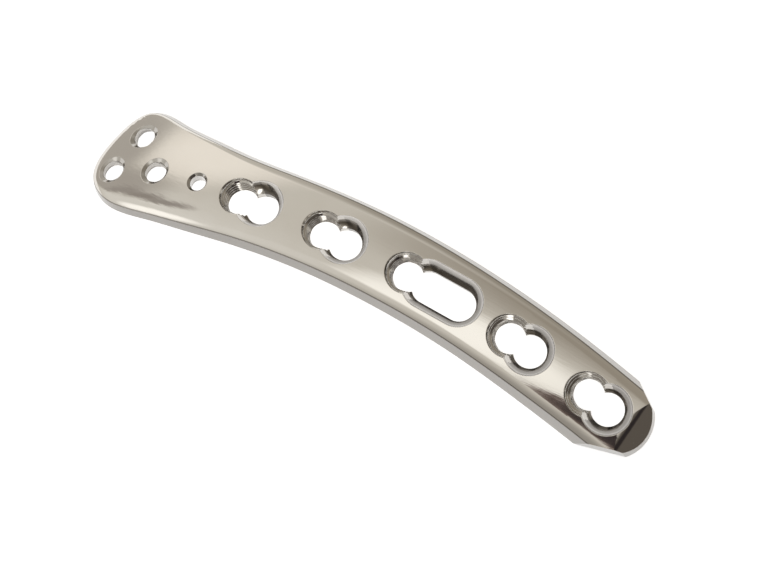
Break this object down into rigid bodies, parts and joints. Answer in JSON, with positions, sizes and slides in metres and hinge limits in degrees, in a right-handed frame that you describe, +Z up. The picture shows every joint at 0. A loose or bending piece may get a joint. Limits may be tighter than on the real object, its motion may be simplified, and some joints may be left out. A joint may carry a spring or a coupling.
{
  "type": "bone plate",
  "caption": "Contoured metal bone plate with a flared, bent head, small head holes and a row of combination screw holes; one piece.",
  "frame": {"origin": "bottom centre of the bounding box, on the floor the plate lies on", "axes": "+X along the plate towards its thin tip, +Y towards the flared side of the head, +Z up, away from the bone side"},
  "size_m": [0.0876, 0.0168, 0.0114],
  "materials": {
    "polished_steel": "polished"
  },
  "bodies": {
    "root": {"bone_plate": "polished_steel"}
  },
  "joints": []
}
